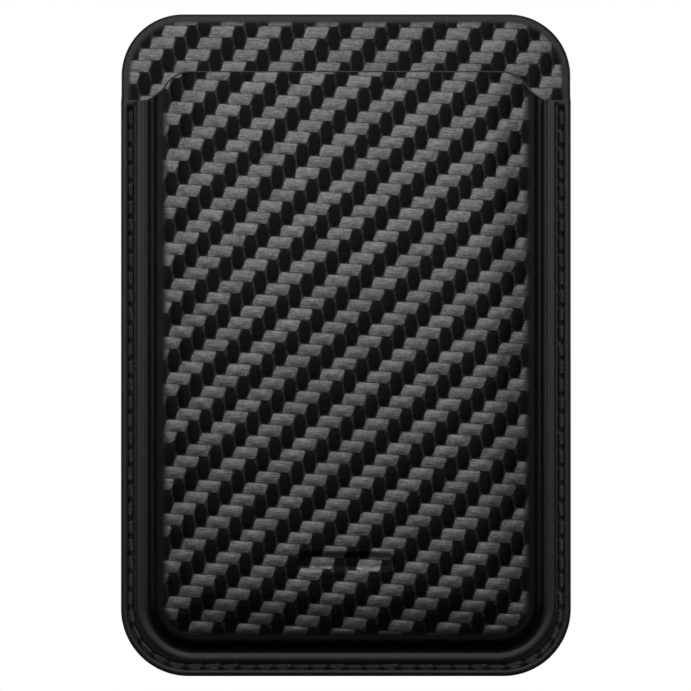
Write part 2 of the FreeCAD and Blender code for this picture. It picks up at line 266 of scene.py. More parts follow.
def mirrored(bm):
    """Copies the right half to the left and joins the two along the middle."""
    bmesh.ops.remove_doubles(bm, verts=bm.verts, dist=MERGE)
    whole = bm.verts[:] + bm.edges[:] + bm.faces[:]
    bmesh.ops.mirror(bm, geom=whole, axis="X", merge_dist=MERGE)


# %% Turning a bmesh into a finished piece
SHARP = math.radians(40.0)       # a steeper edge than this is shaded as an edge


def finished(bm, name, replaced):
    """Makes the object, lets it ride on the wallet's one body and hides the imported piece that it
    replaces.
    """
    for edge in bm.edges:
        edge.smooth = not edge.is_manifold or edge.calc_face_angle() < SHARP
    mesh = bpy.data.meshes.new(name)
    bm.to_mesh(mesh)
    bm.free()
    for polygon in mesh.polygons:
        polygon.use_smooth = True
    piece = bpy.data.objects.new(name, mesh)
    bpy.context.scene.collection.objects.link(piece)
    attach(piece, "root")
    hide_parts(replaced)
    mesh.calc_loop_triangles()
    print(name, len(mesh.loop_triangles), "triangles")
    return piece


# %% [markdown]
# ## The weave
# The skins are embossed and foiled to look like a 2/2 twill of carbon fibre: every weft yarn
# goes over two warps and under two, and each row starts one warp further on, which draws the
# diagonal. The relief is a real, very shallow shape, so it is worked out here once as a height
# over the yarns. The same numbers later place the colours, so the two always agree.

# %% Where the yarns lie
YARN = 1.6927 * MM               # from one yarn to the next on the pad
DIVIDER_YARN = 1.7134 * MM       # the divider's print is a touch coarser
PAD_TURN = math.radians(2.9965)  # the pad's print lies a little askew
DIVIDER_TURN = math.radians(0.5756)
WEAVE_CENTRE_Z = -16.0 * MM      # the print turns about this height
PAD_SHIFT = (-1.6094 * MM, 0.1801 * MM)
DIVIDER_SHIFT = (-0.3765 * MM, 3.5521 * MM)
SLANT = 0.30                     # how far a weft's end leans over its own height, in yarns
END_GAP = 0.04                   # a float ends this much early, where it dives
CORNER_CUT = 0.10                # and its corners are round
FLOAT = 2.0                      # a float passes over two yarns
REPEAT = 4.0                     # and the pattern comes back after four
WARP_LEVEL = 0.8                 # a warp's crown stands this high, and a weft's 1
WEFT_DIVE = 0.8                  # a weft sinks over this length at its end, in yarns
WARP_DIVE = 0.6                  # and a warp over this one


def in_yarns(x, z, yarn, turned, shift):
    """Position on the cloth, counted in yarns across and up."""
    rise = z - WEAVE_CENTRE_Z
    across = x * math.cos(turned) - rise * math.sin(turned) + shift[0]
    up = x * math.sin(turned) + rise * math.cos(turned) + shift[1]
    return across / yarn, up / yarn


def from_middle(value):
    """Distance from the middle of a float that is centred at zero, in a repeat of four."""
    return abs((value + REPEAT / 2) % REPEAT - REPEAT / 2)


def twill_height(u, v):
    """Height of the embossed cloth, 0 in its gaps and 1 on top of a yarn."""
    row = math.floor(v)
    column = math.floor(u)
    across_weft = 2 * (v - row) - 1
    across_warp = 2 * (u - column) - 1
    weft_end = 1 - END_GAP - CORNER_CUT * across_weft ** 4
    weft_end -= from_middle(u - SLANT * across_weft / 2 - row - 1)
    warp_end = 1 - from_middle(v - column - FLOAT)
    weft = (1 - across_weft ** 2) * soft_step(weft_end, 0.0, WEFT_DIVE)
    warp = WARP_LEVEL * (1 - across_warp ** 2) * soft_step(warp_end, 0.0, WARP_DIVE)
    return max(weft, warp)


print("height on a weft", round(twill_height(1.0, 0.5), 2))
print("height in a gap", round(twill_height(0.0, 0.0), 2))

# %% [markdown]
# ## Front skin
# One piece of coated leather, pressed hot over a form: a flat flange that is sewn down on
# three sides, a steep wall and a raised pad. It could be cut from a solid with a bevel, but
# leather shows its bends, so the sheet is pressed by the section's own function. A groove
# takes the thread, each needle hole pulls the leather in a little, the strip between seam and
# wall swells, the pad's rim sinks like a pillow's, and a plain bar is debossed low on the pad.

# %% Places of the needle holes
def seam_holes():
    """The needle's holes as (x, z), down one side, round the bottom and up the other."""
    corner = BOTTOM_CORNER - SEAM_INSET
    side = SEAM_TOP - BOTTOM - BOTTOM_CORNER
    bend = corner * QUARTER
    reach = HALF_WIDTH - BOTTOM_CORNER
    half_length = side + bend + reach
    count = round(half_length / STITCH_LENGTH)
    right = []
    for number in range(count + 1):
        along = half_length * number / count
        if along <= reach:
            right.append((along, BOTTOM + SEAM_INSET))
        elif along <= reach + bend:
            angle = (along - reach) / corner
            right.append((reach + corner * math.sin(angle),
                          BOTTOM + BOTTOM_CORNER - corner * math.cos(angle)))
        else:
            right.append((HALF_WIDTH - SEAM_INSET, BOTTOM + BOTTOM_CORNER + along - reach - bend))
    left = [(-x, z) for x, z in right[:0:-1]]
    return left + right


holes = seam_holes()
print(len(holes), "needle holes")

# %% Depths that are pressed into the flange and the pad
GROOVE_OUTER = (0.7 * MM, 1.3 * MM)       # a gentle slope on the outer side
GROOVE_INNER = (1.75 * MM, 2.05 * MM)     # and a steeper one towards the pad
GROOVE_END = (SEAM_TOP + 0.2 * MM, SEAM_TOP + 0.8 * MM)
GROOVE_DEPTH = 0.20 * MM
HOLE_DIP = 0.5 * MM                       # a hole's middle lies this far below the groove
HOLE_SLOPE = (0.1 * MM, 0.6 * MM)         # from its flat middle to where it ends
MARK_HALF_LENGTH = 7.0 * MM
MARK_HALF_WIDTH = 1.2 * MM
MARK_SLOPE = 0.35 * MM
MARK_Z = BOTTOM + 16.8 * MM
MARK_DEPTH = 0.15 * MM
HOLE_CELL = 2.0 * MM                      # holes are looked up in squares of this size

holes_near = {}
for hole_x, hole_z in holes:
    cell_x = round(hole_x / HOLE_CELL)
    cell_z = round(hole_z / HOLE_CELL)
    for step_x in (-1, 0, 1):
        for step_z in (-1, 0, 1):
            cell = (cell_x + step_x, cell_z + step_z)
            holes_near.setdefault(cell, []).append((hole_x, hole_z))


def stitched_depth(x, z):
    """How far the seam's groove and its needle holes lie below the flange."""
    inset = inset_of(x, z, BOTTOM_CORNER)
    groove = soft_step(inset, *GROOVE_OUTER) * (1 - soft_step(inset, *GROOVE_INNER))
    groove *= 1 - soft_step(z, *GROOVE_END)
    depth = GROOVE_DEPTH * groove
    near = holes_near.get((round(x / HOLE_CELL), round(z / HOLE_CELL)), ())
    for hole_x, hole_z in near:
        away = math.hypot(x - hole_x, z - hole_z)
        depth = max(depth, (GROOVE_DEPTH + HOLE_DIP) * (1 - soft_step(away, *HOLE_SLOPE)))
    return depth


def mark_depth(x, z):
    """How far the plain debossed bar lies below the pad."""
    past_end = max(0.0, abs(x) - (MARK_HALF_LENGTH - MARK_HALF_WIDTH))
    from_line = math.hypot(past_end, z - MARK_Z)
    return MARK_DEPTH * (1 - soft_step(from_line, MARK_HALF_WIDTH - MARK_SLOPE, MARK_HALF_WIDTH))


print("groove", round(GROOVE_DEPTH / MM, 2), "mm deep")

# %% Cut the sheet
FACE = 0.36 * MM                 # small enough for the shape of one yarn
TURN_STEPS = 40
MIDDLE_INSET = BOTTOM_CORNER
FLANGE_COLUMNS = 22
WALL_COLUMNS = 16
PAD_COLUMNS = 20

front = bmesh.new()
front.verts.layers.float.new("woven")
front.verts.layers.float.new("foiled")
woven_layer = front.verts.layers.float["woven"]
foiled_layer = front.verts.layers.float["foiled"]
columns = [(FOOT_START, FLANGE_COLUMNS), (RIM_END, WALL_COLUMNS), (MIDDLE_INSET, PAD_COLUMNS)]
front_section = section(front, EDGE_PAINT, columns, LIP)
sweep_under(front, front_section, LIP, FACE, TURN_STEPS)
add_half_grid(front, HALF_WIDTH - MIDDLE_INSET, BOTTOM + MIDDLE_INSET, LIP, FACE)
mirrored(front)
print("flat sheet of", len(front.faces), "faces")

# %% Press the sheet
SHAPED_FROM = BOTTOM + 60.0 * MM
FOLLOW_FROM = (2.3 * MM, FOOT_START)      # rows follow the pad from the seam's inner side
FOLLOW_TO = (RIM_END, 9.0 * MM)           # and no longer in the middle of the pad


def trim_to_mouth(vertex):
    """Draws the upper rows down, so that the sheet ends along the mouth's curve."""
    if vertex.co.z > SHAPED_FROM:
        share = (vertex.co.z - SHAPED_FROM) / (LIP - SHAPED_FROM)
        vertex.co.z = SHAPED_FROM + share * (mouth_height(vertex.co.x) - SHAPED_FROM)


def follow_pad(vertex):
    """In the corners the pad is rounder than the panel, so the wall's rows move in a little."""
    x, z = vertex.co.x, vertex.co.z
    inset = inset_of(x, z, BOTTOM_CORNER)
    weight = soft_step(inset, *FOLLOW_FROM) * (1 - soft_step(inset, *FOLLOW_TO))
    late = inset - inset_of(x, z, PAD_CORNER)
    if weight and late > 0:
        inward = Vector((-math.copysign(1.0, x), 0, 1)).normalized()
        vertex.co += inward * late * weight


for vertex in front.verts:
    follow_pad(vertex)
    trim_to_mouth(vertex)
    vertex.co.y = FLANGE_Y - pressed_rise(inset_of(vertex.co.x, vertex.co.z, PAD_CORNER))
bmesh.ops.recalc_face_normals(front, faces=front.faces)
if sum(face.normal.y for face in front.faces) > 0:
    bmesh.ops.reverse_faces(front, faces=front.faces)
pad_front = min(vertex.co.y for vertex in front.verts)
print("pressed", round((FLANGE_Y - pad_front) / MM, 2), "mm proud of the flange")

# %% Give it thickness and clean the hidden face
shown = front.verts[:]
bmesh.ops.solidify(front, geom=front.faces[:], thickness=SKIN)
hidden = set(front.verts) - set(shown)
flat_y = PAD_Y + SKIN
flat_hidden = []
for face in front.faces:
    if all(vertex in hidden and abs(vertex.co.y - flat_y) < MERGE for vertex in face.verts):
        flat_hidden.append(face)
bmesh.ops.delete(front, geom=flat_hidden, context="FACES")
open_edges = [edge for edge in front.edges if edge.is_boundary]
bmesh.ops.holes_fill(front, edges=open_edges, sides=0)
print(len(flat_hidden), "hidden faces became one")
print(sum(edge.is_boundary for edge in front.edges), "open edges left")

# %% Emboss the weave, the groove and the mark
EMBOSS = 0.045 * MM
WOVEN_AND_SHADED_FROM = (6.1 * MM, 7.2 * MM)         # the weave fades in over the pad's rim; it starts this far in to paint shade where the light falls off at the rim
RAISED_FROM = (-0.02 * MM, 0.12 * MM)     # but stays flat along the lip's cut edge
FOILED_FROM = (3.7 * MM, 4.3 * MM)        # the foil starts at the foot of the wall
SWELL = 0.13 * MM                         # of the strip between the seam and the wall
SWELL_OUTER = (1.8 * MM, 2.5 * MM)
SWELL_INNER = (2.55 * MM, 3.9 * MM)
PILLOW = 0.25 * MM                        # how far the pad's rim sinks
PILLOW_OUTER = (4.5 * MM, 6.0 * MM)
PILLOW_INNER = (6.0 * MM, 12.5 * MM)

for vertex in shown:
    x, z = vertex.co.x, vertex.co.z
    inset = inset_of(x, z, PAD_CORNER)
    edge_inset = inset_of(x, z, BOTTOM_CORNER)
    woven = soft_step(inset, *WOVEN_AND_SHADED_FROM)
    raised = woven * soft_step(mouth_height(x) - z, *RAISED_FROM)
    u, v = in_yarns(x, z, YARN, PAD_TURN, PAD_SHIFT)
    swell = SWELL * soft_step(inset, *SWELL_OUTER) * (1 - soft_step(inset, *SWELL_INNER))
    vertex.co.y += mark_depth(x, z) + stitched_depth(x, z) + edge_drop(edge_inset)
    vertex.co.y += PILLOW * soft_step(inset, *PILLOW_OUTER) * (1 - soft_step(inset, *PILLOW_INNER))
    vertex.co.y -= swell + EMBOSS * raised * twill_height(u, v)
    vertex[woven_layer] = woven
    vertex[foiled_layer] = soft_step(inset, *FOILED_FROM)
bmesh.ops.recalc_face_normals(front, faces=front.faces)
front_skin = finished(front, "woven_front", "front_skin")

# %% [markdown]
# ## Divider skin
# The same woven leather covers the panel behind the cards, and shows above the mouth. It is
# flat, so only its top needs small faces; the rest is one face with the thumb slot left out
# of it. The slot is a pill: two half circles made with spin and two straight runs.

# %% Sweep the divider's border and fill its middle
FINE_FROM = BOTTOM + 78.0 * MM   # above this height the divider can be seen
BORDER_INSET = TOP_CORNER
PLAIN_EDGE = 0.6 * MM            # this strip at the edge has no weave
EDGE_COLUMNS = 2
BORDER_COLUMNS = 24
TOP_TURN = (HALF_WIDTH - TOP_CORNER, TOP - TOP_CORNER)

divider = bmesh.new()
divider.verts.layers.float.new("woven")
divider.verts.layers.float.new("foiled")
divider_woven = divider.verts.layers.float["woven"]
divider_foiled = divider.verts.layers.float["foiled"]
columns = [(PLAIN_EDGE, EDGE_COLUMNS), (BORDER_INSET, BORDER_COLUMNS)]
row = section(divider, EDGE_PAINT, columns, FINE_FROM)
fine_side = TOP - TOP_CORNER - FINE_FROM
fine_top = HALF_WIDTH - TOP_CORNER
row = run(divider, row, UP, fine_side, rows(fine_side, FACE))
row = turn(divider, row, TOP_TURN, TURN_STEPS, ANTICLOCKWISE)
run(divider, row, LEFT, fine_top, rows(fine_top, FACE))
add_half_grid(divider, fine_top, FINE_FROM, TOP - TOP_CORNER, FACE)
bmesh.ops.remove_doubles(divider, verts=divider.verts, dist=MERGE)
print("fine part of the divider:", len(divider.faces), "faces")


# %% The plain lower part, with the thumb slot
SLOT_HALF = 10.0 * MM
SLOT_RADIUS = 5.5 * MM
SLOT_Z = BOTTOM + 14.8 * MM
PLAIN_TURN_STEPS = 12


def outline_edge(bm):
    """The right half of the lower outline, as a wire from the middle of the bottom upwards."""
    reach = HALF_WIDTH - BOTTOM_CORNER
    start = bm.verts.new((0, 0, BOTTOM + EDGE_PAINT))
    wire = run(bm, [start], RIGHT, reach, 1)
    wire = turn(bm, wire, (reach, BOTTOM + BOTTOM_CORNER), PLAIN_TURN_STEPS, ANTICLOCKWISE)
    run(bm, wire, UP, FINE_FROM - BOTTOM - BOTTOM_CORNER, 1)


def slot_edge(bm):
    """The right half of the thumb slot, as a wire round its end. Paint covers its cut edge."""
    straight = SLOT_HALF - SLOT_RADIUS
    start = bm.verts.new((0, 0, SLOT_Z - SLOT_RADIUS - EDGE_PAINT))
    wire = run(bm, [start], RIGHT, straight, 1)
    wire = turn(bm, wire, (straight, SLOT_Z), 2 * PLAIN_TURN_STEPS, 2 * ANTICLOCKWISE)
    run(bm, wire, LEFT, straight, 1)


outline_edge(divider)
slot_edge(divider)
mirrored(divider)
lower = [edge for edge in divider.edges if edge.is_wire]
for edge in divider.edges:
    if edge.is_boundary and max(vertex.co.z for vertex in edge.verts) < FINE_FROM + MERGE:
        lower.append(edge)
bmesh.ops.triangle_fill(divider, use_beauty=True, use_dissolve=False, edges=lower, normal=FORWARD)
bmesh.ops.translate(divider, verts=divider.verts, vec=(0, DIVIDER_Y, 0))
bmesh.ops.recalc_face_normals(divider, faces=divider.faces)
if sum(face.normal.y for face in divider.faces) > 0:
    bmesh.ops.reverse_faces(divider, faces=divider.faces)
print("whole divider:", len(divider.faces), "faces")

# %% Thickness, weave and a soft edge
DIVIDER_WOVEN_FROM = (0.7 * MM, 1.5 * MM)
DIVIDER_RAISED_FROM = (FINE_FROM, FINE_FROM + 2 * MM)

shown = divider.verts[:]
bmesh.ops.solidify(divider, geom=divider.faces[:], thickness=DIVIDER_BACK_Y - DIVIDER_Y)
hidden = set(divider.verts) - set(shown)
flat_hidden = []
for face in divider.faces:
    if all(vertex in hidden for vertex in face.verts) and face.calc_center_median().z > FINE_FROM:
        flat_hidden.append(face)
bmesh.ops.delete(divider, geom=flat_hidden, context="FACES")
open_edges = [edge for edge in divider.edges if edge.is_boundary]
bmesh.ops.holes_fill(divider, edges=open_edges, sides=0)
for vertex in shown:
    x, z = vertex.co.x, vertex.co.z
    inset = top_inset_of(x, z)
    woven = soft_step(inset, *DIVIDER_WOVEN_FROM)
    raised = woven * soft_step(z, *DIVIDER_RAISED_FROM)
    u, v = in_yarns(x, z, DIVIDER_YARN, DIVIDER_TURN, DIVIDER_SHIFT)
    vertex.co.y += edge_drop(inset) - EMBOSS * raised * twill_height(u, v)
    vertex[divider_woven] = woven
    vertex[divider_foiled] = woven
bmesh.ops.recalc_face_normals(divider, faces=divider.faces)
print(sum(edge.is_boundary for edge in divider.edges), "open edges left")
divider_skin = finished(divider, "woven_divider", "divider_skin")

# %% [markdown]
# ## Edge paint round the panel
# The cut edges of all layers are closed with a bead of paint that is sanded round. Its
# section is a rounded strip, drawn once and swept round the whole outline. Where the front
# skin ends, at the top of each flange, the bead steps down to the divider.

# %% Section of the bead
ROUND_STEPS = 5
SIDE_STEPS = 4


def rounded(bm, geom, centre_y):
    """Carries geometry round one of the bead's long edges."""
    centre = (HALF_WIDTH - BEAD_ROUND, centre_y, FINE_FROM)
    moved = bmesh.ops.spin(bm, geom=geom, cent=centre, axis=(0, 0, 1), angle=-QUARTER,
                           dvec=(0, 0, 0), steps=ROUND_STEPS)
    return moved["geom_last"]


def bead_section(bm):
    """Quarter circles join the bead's back and front to its straight side."""
    first = bm.verts.new((HALF_WIDTH - BEAD_ROUND, 0.0, FINE_FROM))
    wire = rounded(bm, [first], -BEAD_ROUND)
    wire = run(bm, wire, FORWARD, -FLANGE_Y - 2 * BEAD_ROUND, SIDE_STEPS)
    rounded(bm, wire, FLANGE_Y + BEAD_ROUND)
    ends = [vertex for vertex in bm.verts if len(vertex.link_edges) == 1]
    bmesh.ops.contextual_create(bm, geom=ends)
    return bm.verts[:] + bm.edges[:]


bead = bmesh.new()
ring = bead_section(bead)
print("bead section of", len(bead.verts), "points")

# %% Sweep the bead down and up from that height
STRAIGHT_STEPS = 12              # below, where it only runs straight
SHAPED_STEPS = 40                # above, where it also steps down to the divider
ACROSS_STEPS = 6
STEP_DOWN = (FLANGE_TOP - 0.1 * MM, FLANGE_TOP + 0.8 * MM)

under = HALF_WIDTH - BOTTOM_CORNER
wire = run(bead, ring, DOWN, FINE_FROM - BOTTOM - BOTTOM_CORNER, STRAIGHT_STEPS)
wire = turn(bead, wire, (under, BOTTOM + BOTTOM_CORNER), TURN_STEPS, CLOCKWISE)
run(bead, wire, LEFT, under, ACROSS_STEPS)
wire = run(bead, ring, UP, fine_side, SHAPED_STEPS)
wire = turn(bead, wire, TOP_TURN, TURN_STEPS, ANTICLOCKWISE)
run(bead, wire, LEFT, fine_top, ACROSS_STEPS)
mirrored(bead)
for vertex in bead.verts:
    share = soft_step(vertex.co.z, *STEP_DOWN)
    vertex.co.y *= 1 - share * (1 - DIVIDER_Y / FLANGE_Y)
bmesh.ops.recalc_face_normals(bead, faces=bead.faces)
print(len(bead.faces), "faces in the bead")
perimeter_bead = finished(bead, "perimeter_bead", "perimeter_edge_paint")

# %% [markdown]
# ## Threads
# The seam is a lockstitch: the needle thread lies in the front groove and the bobbin thread
# in the back one, and both dive into every hole. Sewing thread is three plies twisted
# together. One stitch is made by spinning three small circles along the seam while they
# turn, then bending the ends down, and the finished stitch is repeated from hole to hole.

# %% One stitch of three-ply thread
PLIES = 3
PLY_RADIUS = 0.16 * MM
PLY_OFFSET = 0.145 * MM
PLY_SIDES = 6
TWIST = 1.6 * 2 * math.pi        # how far the plies turn over one stitch
STITCH_ROWS = 14
THREAD_LENGTH = STITCH_LENGTH + 0.15 * MM
DIVE = 1.1 * MM
DIVE_FROM = (-0.1 * MM, 0.65 * MM)


def twisted_stitch():
    """One stitch along +X with its bar at y = 0 and its ends bent towards +Y."""
    bm = bmesh.new()
    for ply in range(PLIES):
        angle = ply * 2 * math.pi / PLIES
        centre = Vector((0, PLY_OFFSET * math.cos(angle), PLY_OFFSET * math.sin(angle)))
        place = Matrix.Translation(centre) @ Matrix.Rotation(QUARTER, 4, "Y")
        circle = bmesh.ops.create_circle(bm, segments=PLY_SIDES, radius=PLY_RADIUS,
                                         cap_ends=False, matrix=place)["verts"]
        first = [edge for edge in bm.edges if all(vertex in circle for vertex in edge.verts)]
        bmesh.ops.holes_fill(bm, edges=first, sides=0)
        moved = bmesh.ops.spin(bm, geom=circle + first, cent=(0, 0, 0), axis=(1, 0, 0),
                               dvec=(THREAD_LENGTH / STITCH_ROWS, 0, 0), angle=TWIST,
                               steps=STITCH_ROWS)["geom_last"]
        last = [item for item in moved if isinstance(item, bmesh.types.BMEdge)]
        bmesh.ops.holes_fill(bm, edges=last, sides=0)
    bmesh.ops.translate(bm, verts=bm.verts, vec=((STITCH_LENGTH - THREAD_LENGTH) / 2, 0, 0))
    for vertex in bm.verts:
        from_end = min(vertex.co.x, STITCH_LENGTH - vertex.co.x)
        vertex.co.y += DIVE * (1 - soft_step(from_end, *DIVE_FROM))
    bmesh.ops.recalc_face_normals(bm, faces=bm.faces)
    mesh = bpy.data.meshes.new("stitch")
    bm.to_mesh(mesh)
    bm.free()
    return mesh


stitch = twisted_stitch()
print("one stitch has", len(stitch.polygons), "faces")

# %% Sew the seam on both faces
sewing = random.Random(7)
STITCH_LEAN = math.radians(4.0)  # the most that a stitch leans off its line
PRESSED = 0.6                    # waxed thread is pressed flat in its groove
THREAD_HALF = PRESSED * (PLY_RADIUS + PLY_OFFSET)
PROUD = 0.8 * THREAD_HALF        # the thread's middle stands this far out of the groove
BACK_GROOVE = 0.5 * MM


def sewn(bar_y, inward):
    """The stitch repeated from hole to hole, its bar at bar_y and its ends turned inward."""
    bm = bmesh.new()
    for (x, z), (next_x, next_z) in zip(holes, holes[1:]):
        known = len(bm.verts)
        bm.from_mesh(stitch)
        bm.verts.ensure_lookup_table()
        heading = math.atan2(next_z - z, next_x - x)
        gap = math.hypot(next_x - x, next_z - z)
        lean = sewing.uniform(-STITCH_LEAN, STITCH_LEAN)
        place = Matrix.Translation((x, bar_y, z)) @ Matrix.Rotation(-heading, 4, "Y")
        place = place @ Matrix.Diagonal((gap / STITCH_LENGTH, inward * PRESSED, 1.0, 1.0))
        place = place @ Matrix.Rotation(lean, 4, "Y")
        bmesh.ops.transform(bm, matrix=place, verts=bm.verts[known:])
    bmesh.ops.recalc_face_normals(bm, faces=bm.faces)
    return bm


front_stitches = sewn(FLANGE_Y + GROOVE_DEPTH - PROUD, 1)
needle_thread = finished(front_stitches, "needle_stitches", "needle_thread")
back_stitches = sewn(-BACK_GROOVE + PROUD, -1)
bobbin_thread = finished(back_stitches, "bobbin_stitches", "bobbin_thread")

# %% [markdown]
# ## Node helpers
# Every finish is made of shader nodes. Small helpers keep the recipes short: put places a node
# and fills or links its inputs by name, calc and product do arithmetic, ramp makes a soft
# rise, and mixed and between mix two colours or two numbers. A pattern that several finishes
# share is a node group with named inputs.

# %% Place and calculate
def put(tree, kind, inputs=None, **settings):
    """A new node; each input is given a value or linked to another node's output."""
    node = tree.nodes.new("ShaderNode" + kind)
    for key, value in settings.items():
        setattr(node, key, value)
    for key, value in (inputs or {}).items():
        if isinstance(value, bpy.types.NodeSocket):
            tree.links.new(value, node.inputs[key])
        else:
            node.inputs[key].default_value = value
    return node


def calc(tree, operation, *values):
    """One step of arithmetic."""
    return put(tree, "Math", dict(enumerate(values)), operation=operation).outputs[0]


def product(tree, first, *others):
    """All the values multiplied together."""
    result = first
    for value in others:
        result = calc(tree, "MULTIPLY", result, value)
    return result


def ramp(tree, value, low, high, to_low=0.0, to_high=1.0):
    """A soft rise from to_low to to_high, as value goes from low to high."""
    inputs = {"Value": value, "From Min": low, "From Max": high, "To Min": to_low, "To Max": to_high}
    return put(tree, "MapRange", inputs, interpolation_type="SMOOTHSTEP").outputs["Result"]


print("node helpers ready")


# %% Mix colours and numbers
def mixed(tree, share, first, second):
    """A colour between two others. The Mix node has its colours at 6 and 7, and 2 going out."""
    return put(tree, "Mix", {0: share, 6: first, 7: second}, data_type="RGBA").outputs[2]


def between(tree, share, first, second):
    """A number between two others, which the same node has at 2 and 3, and 0 going out."""
    return put(tree, "Mix", {0: share, 2: first, 3: second}, data_type="FLOAT").outputs[0]


def grey(value, warmth=0.0):
    """A near-neutral colour; warmth above zero is redder and below zero bluer."""
    return (value * (1 + warmth), value, value * (1 - warmth), 1.0)


print("a warm grey:", grey(0.5, 0.1))


# %% New groups and materials
def new_group(name, inputs, outputs):
    """A node group with a Vector and these number inputs, and number outputs of these names."""
    group = bpy.data.node_groups.new(name, "ShaderNodeTree")
    group.interface.new_socket("Vector", in_out="INPUT", socket_type="NodeSocketVector")
    for socket, value in inputs.items():
        made = group.interface.new_socket(socket, in_out="INPUT", socket_type="NodeSocketFloat")
        made.default_value = value
    for socket in outputs:
        group.interface.new_socket(socket, in_out="OUTPUT", socket_type="NodeSocketFloat")
    return group, group.nodes.new("NodeGroupInput").outputs, group.nodes.new("NodeGroupOutput").inputs


def new_material(name):
    """A material with its node tree and its main shader."""
    material = bpy.data.materials.new(name)
    material.use_nodes = True
    return material, material.node_tree, material.node_tree.nodes["Principled BSDF"]


def object_place(tree):
    """The point on the object, in metres."""
    return put(tree, "TexCoord").outputs["Object"]


def add_bump(tree, shader, height):
    """Lets a height in metres bend the light on the shader."""
    bump = put(tree, "Bump", {"Height": height, "Distance": 1.0, "Strength": 1.0})
    tree.links.new(bump.outputs[0], shader.inputs["Normal"])


print("group and material helpers ready")

# %% [markdown]
# ## Groups for cloth and grain
# The twill group repeats in nodes what twill_height does in Python: it finds the row and the
# column of yarn, and how far a point lies along its float. Its outputs are masks and heights,
# so that each material can choose its own colours. The grain group gives the fine pebbles
# of coated leather.

# %% Parts of the twill group
FIBRE_STRETCH = 1.1              # fibres' noise is drawn out along a yarn
FIBRE_FINENESS = 11.0            # and fine across it
WEFT_FIBRES = (FIBRE_STRETCH, 1.0, FIBRE_FINENESS)
WARP_FIBRES = (FIBRE_FINENESS, 1.0, FIBRE_STRETCH)
END_SOFTNESS = 0.07              # a weft's end fades over this length, in yarns
END_RAGGED = 0.22                # and is torn by about this much


def noise(tree, place, scale, detail):
    """Soft noise between 0 and 1."""
    return put(tree, "TexNoise", {"Vector": place, "Scale": scale, "Detail": detail}).outputs["Fac"]


def scaled(tree, place, scales):
    """A place or a colour, multiplied on each axis or channel."""
    return put(tree, "VectorMath", {0: place, 1: scales}, operation="MULTIPLY").outputs[0]


def from_edges(tree, value):
    """-1 on one edge of a yarn, 0 in its middle and 1 on the other edge."""
    return calc(tree, "MULTIPLY_ADD", calc(tree, "FRACT", value), 2.0, -1.0)


def wrapped(tree, value):
    """The signed distance from the nearest float's middle."""
    return calc(tree, "WRAP", value, REPEAT / 2, -REPEAT / 2)


def power_of(tree, value, power):
    """A power of the distance from the middle, whichever side it is on."""
    return calc(tree, "POWER", calc(tree, "ABSOLUTE", value), power)


print("parts of the twill ready")


# %% Twill group
def make_twill_group():
    """Masks and heights of the cloth, from a vector that counts yarns across (X) and up (Z)."""
    inputs = {"Slant": SLANT, "Softness": END_SOFTNESS, "Ragged": END_RAGGED}
    outputs = ["Weft", "Crown", "Fibre", "Shade", "Gap"]
    tree, given, result = new_group("twill", inputs, outputs)
    part = put(tree, "SeparateXYZ", {0: given["Vector"]}).outputs
    u, v = part["X"], part["Z"]
    row = calc(tree, "FLOOR", v)
    column = calc(tree, "FLOOR", u)
    across_weft = from_edges(tree, v)
    across_warp = from_edges(tree, u)

    lean = product(tree, across_weft, 0.5, given["Slant"])
    along_weft = calc(tree, "SUBTRACT", calc(tree, "SUBTRACT", u, lean), calc(tree, "ADD", row, 1.0))
    along_weft = wrapped(tree, along_weft)
    corner = calc(tree, "MULTIPLY", power_of(tree, across_weft, 4.0), CORNER_CUT)
    tear = noise(tree, given["Vector"], 2.3, 2.0)
    ragged = calc(tree, "MULTIPLY", calc(tree, "SUBTRACT", tear, 0.5), given["Ragged"])
    weft_end = calc(tree, "SUBTRACT", calc(tree, "ADD", ragged, 1.0 - END_GAP), corner)
    weft_end = calc(tree, "SUBTRACT", weft_end, calc(tree, "ABSOLUTE", along_weft))
    minus_soft = calc(tree, "MULTIPLY", given["Softness"], -1.0)
    weft = ramp(tree, weft_end, minus_soft, given["Softness"])
    not_weft = calc(tree, "SUBTRACT", 1.0, weft)
    tree.links.new(weft, result["Weft"])

    along_warp = wrapped(tree, calc(tree, "SUBTRACT", v, calc(tree, "ADD", column, FLOAT)))
    warp_end = calc(tree, "SUBTRACT", 1.0, calc(tree, "ABSOLUTE", along_warp))
    weft_crown = calc(tree, "SUBTRACT", 1.0, power_of(tree, across_weft, 4.0))
    warp_round = calc(tree, "SUBTRACT", 1.0, power_of(tree, across_warp, 2.0))
    warp_crown = product(tree, warp_round, WARP_LEVEL, ramp(tree, warp_end, 0.0, WARP_DIVE))
    tree.links.new(between(tree, weft, warp_crown, weft_crown), result["Crown"])

    weft_fibre = noise(tree, scaled(tree, given["Vector"], WEFT_FIBRES), 1.0, 3.0)
    warp_fibre = noise(tree, scaled(tree, given["Vector"], WARP_FIBRES), 1.0, 3.0)
    tree.links.new(between(tree, weft, warp_fibre, weft_fibre), result["Fibre"])

    number = calc(tree, "FLOOR", calc(tree, "DIVIDE", calc(tree, "SUBTRACT", u, row), REPEAT))
    float_place = put(tree, "CombineXYZ", {"X": row, "Y": number, "Z": 0.0}).outputs[0]
    shade = put(tree, "TexWhiteNoise", {"Vector": float_place}, noise_dimensions="3D")
    tree.links.new(shade.outputs["Value"], result["Shade"])

    oval = calc(tree, "ADD", power_of(tree, across_warp, 2.0), power_of(tree, along_warp, 2.0))
    cloud = ramp(tree, noise(tree, given["Vector"], 1.7, 2.0), 0.35, 0.6, 0.2, 1.0)
    tree.links.new(product(tree, ramp(tree, oval, 0.7, 1.5), cloud, not_weft), result["Gap"])
    return tree


twill_group = make_twill_group()
print("twill group with", len(twill_group.nodes), "nodes")

